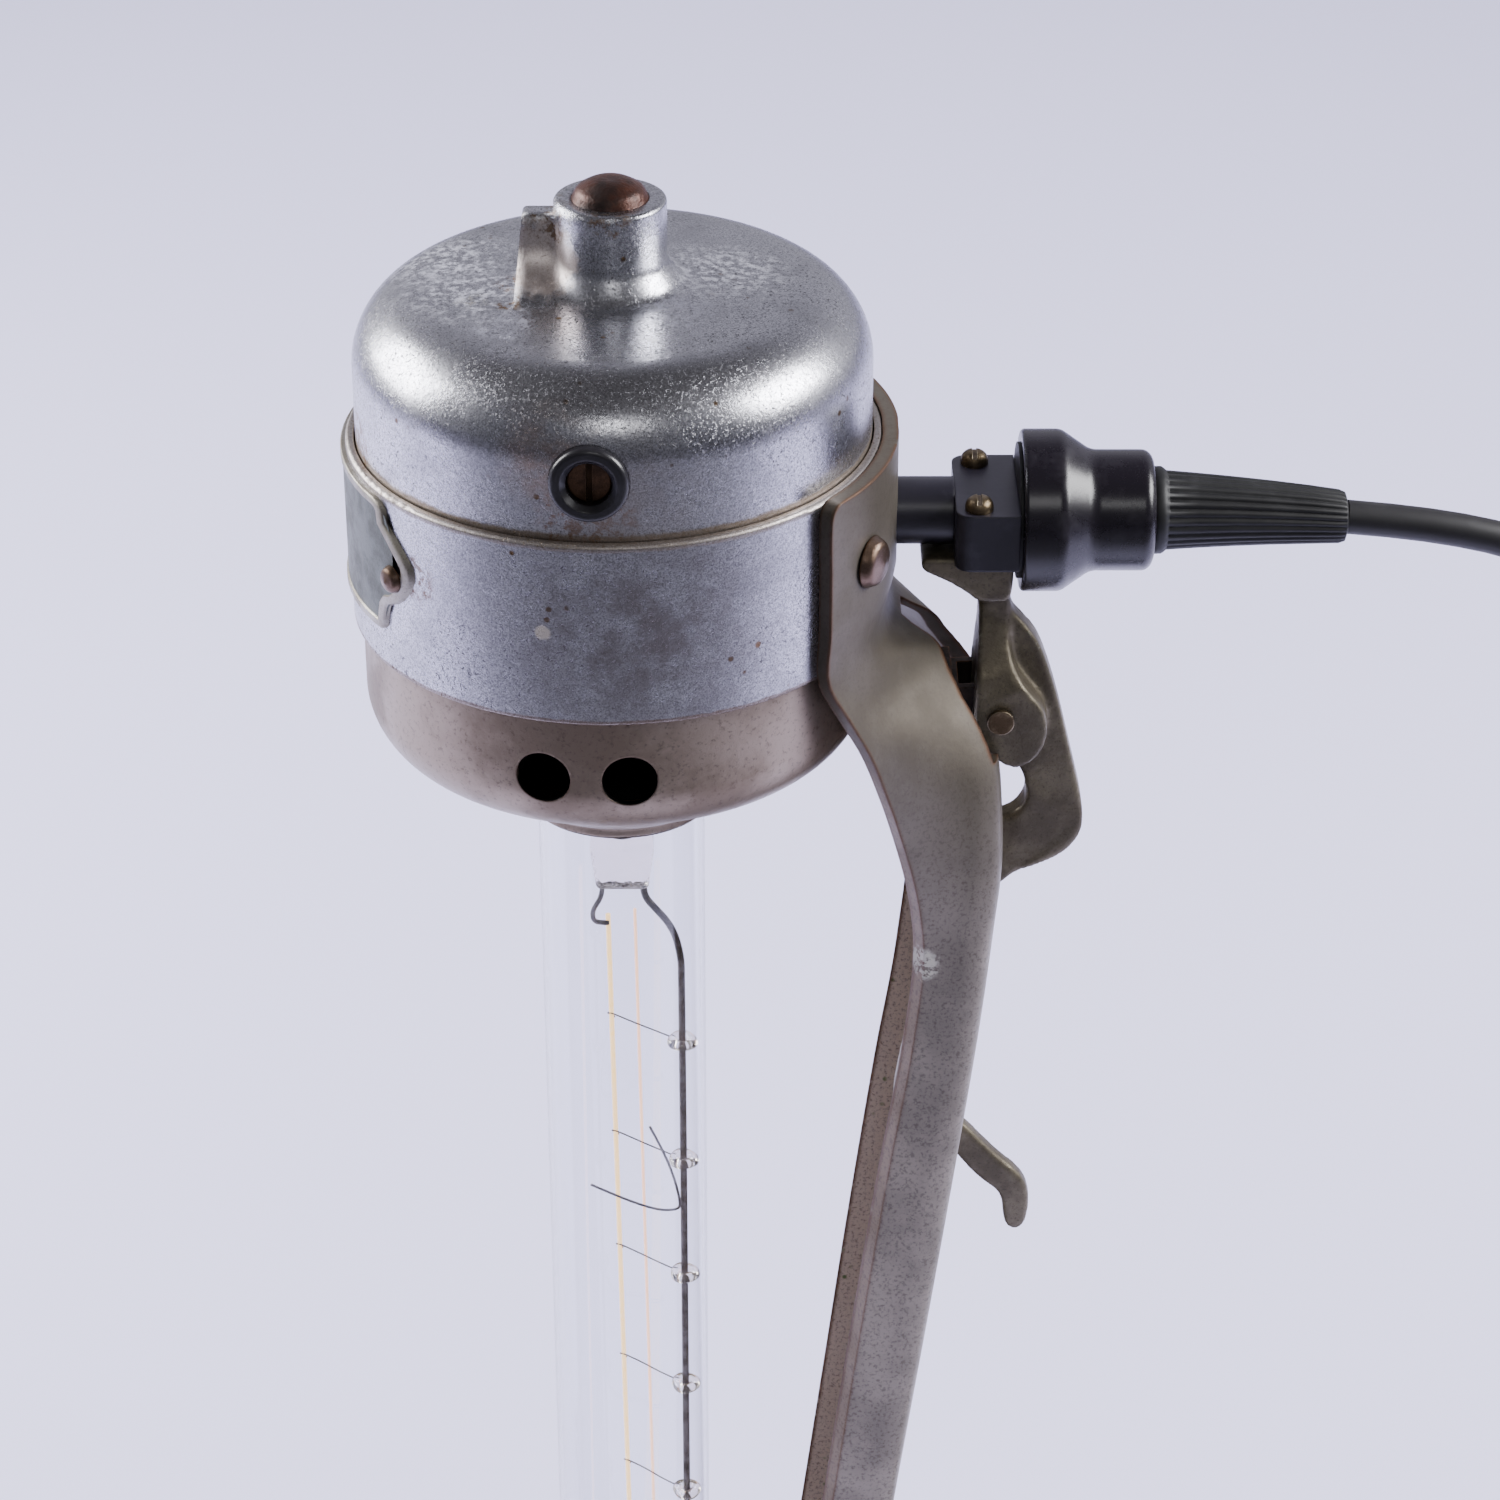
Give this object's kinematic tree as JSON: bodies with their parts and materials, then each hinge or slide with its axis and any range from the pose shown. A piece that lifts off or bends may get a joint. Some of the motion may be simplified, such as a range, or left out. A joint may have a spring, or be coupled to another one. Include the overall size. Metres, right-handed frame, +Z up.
{
  "type": "table lamp",
  "caption": "Table lamp with a round metal head, a tubular lamp under it, a bent channel column with a sprung switch lever, and a side plug and lead.",
  "frame": {"origin": "on the table, at the underside of the base, under the lamp's axis", "axes": "+Z up along the lamp's axis, +X towards the column and the plug, +Y to the left of +X"},
  "size_m": [0.2872, 0.156, 0.4084],
  "materials": {
    "bright_nickel": "satin, pitted nickel plate",
    "dull_nickel": "tarnished brownish nickel plate",
    "column_nickel": "worn nickel plate with brown edges",
    "lever_casting": "dull olive-grey casting",
    "tarnished_brass": "dark tarnished brass",
    "plug_patina": "dark red-brown glossy patina",
    "plate_field": "grey-green blank field in a raised border",
    "black_metal": "satin black",
    "black_moulding": "glossy black moulding",
    "black_rubber": "matt ribbed rubber",
    "lead_rubber": "matt rubber sheath",
    "clear_glass": "clear",
    "wire_steel": "dark drawn wire",
    "filament_carbon": "fine pale filament",
    "iron_weight": "rough casting",
    "felt": "green-black felt"
  },
  "bodies": {
    "root": {"top_cap": "bright_nickel", "boss_plug": "plug_patina", "brush_insulators": "black_moulding", "brush_cap_screws": "tarnished_brass", "body_shell": "bright_nickel", "name_plate": "plate_field", "name_plate_rivets": "tarnished_brass", "lower_cover": "dull_nickel", "lamp_collar": "tarnished_brass", "lampholder_shell": "tarnished_brass", "lampholder_insulator": "black_moulding", "centre_contact": "tarnished_brass", "lampholder_bracket": "dull_nickel", "lampholder_screws": "tarnished_brass", "internal_leads": "lead_rubber", "yoke_column": "column_nickel", "yoke_rivets": "tarnished_brass", "inlet_tube": "black_metal", "terminal_block": "black_metal", "terminal_screws": "tarnished_brass", "connector_pins": "tarnished_brass", "block_cover_plate": "black_moulding", "plug_cap": "black_moulding", "plug_insert": "black_moulding", "strain_relief": "black_rubber", "pivot_bracket": "black_metal", "pivot_pin": "tarnished_brass", "return_spring": "wire_steel", "base_cover": "dull_nickel", "base_weight": "iron_weight", "felt_pad": "felt", "base_bolt": "dull_nickel", "column_foot": "iron_weight", "foot_screws": "tarnished_brass", "lead_cord": "lead_rubber", "lead_tail": "lead_rubber", "cord_coil": "lead_rubber", "mains_plug": "black_moulding", "mains_plug_blades": "tarnished_brass"},
    "lever": {"switch_lever": "lever_casting"},
    "plunger": {"switch_plunger": "tarnished_brass"},
    "lamp": {"glass_tube": "clear_glass", "lamp_cap_shell": "tarnished_brass", "lamp_cap_insulator": "black_moulding", "lamp_contact": "tarnished_brass", "glass_stem": "clear_glass", "support_wire": "wire_steel", "lead_in_wire": "wire_steel", "glass_beads": "clear_glass", "filament_hooks": "wire_steel", "filaments": "filament_carbon", "anchor_springs": "wire_steel"}
  },
  "joints": [
    {"name": "lever_swing", "type": "hinge", "parent": "root", "child": "lever", "pos_m": [0.0718, 0, 0.3034], "axis": [0, -1, 0], "range_deg": [0, 4], "stiffness_Nm_per_rad": 1, "springref_deg": -5.73},
    {"name": "plunger_travel", "type": "slide", "parent": "root", "child": "plunger", "axis": [0, 0, -1], "range_m": [0, 0.00086]},
    {"name": "lamp_withdraw", "type": "slide", "parent": "root", "child": "lamp", "axis": [0, 0, -1], "range_m": [0, 0.025]}
  ],
  "couplings": [
    {"joint": "plunger_travel", "follows": "lever_swing", "m_per_rad": 0.0123}
  ]
}
